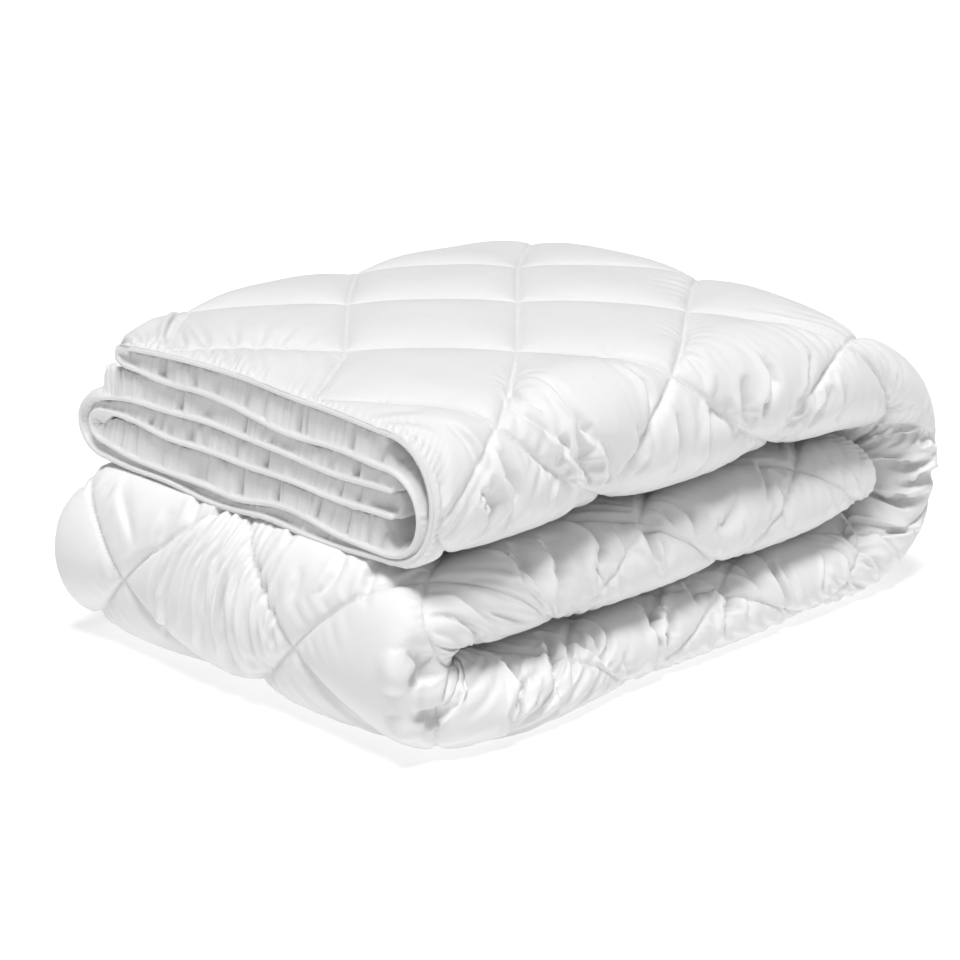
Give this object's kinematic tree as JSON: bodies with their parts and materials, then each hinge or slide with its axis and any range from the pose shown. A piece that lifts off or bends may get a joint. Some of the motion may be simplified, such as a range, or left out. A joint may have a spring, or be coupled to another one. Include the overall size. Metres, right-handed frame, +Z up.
{
  "type": "duvet",
  "caption": "White quilted duvet with a bound edge, folded in layers to a soft rectangular block for storage or display.",
  "frame": {"origin": "on the surface it lies on, under the middle of the folded block", "axes": "+X along the folded strip, from the bound hem end to the folded end; -Y towards the closed, rounded folds; +Z up"},
  "size_m": [0.5184, 0.3578, 0.2156],
  "materials": {
    "quilted_cloth": "fine white woven cloth, softly lustrous, filled and quilted",
    "binding": "white woven binding, sewn flat"
  },
  "bodies": {
    "root": {"duvet_body": "quilted_cloth", "binding_top_end": "binding", "binding_inner_end": "binding"}
  },
  "joints": []
}
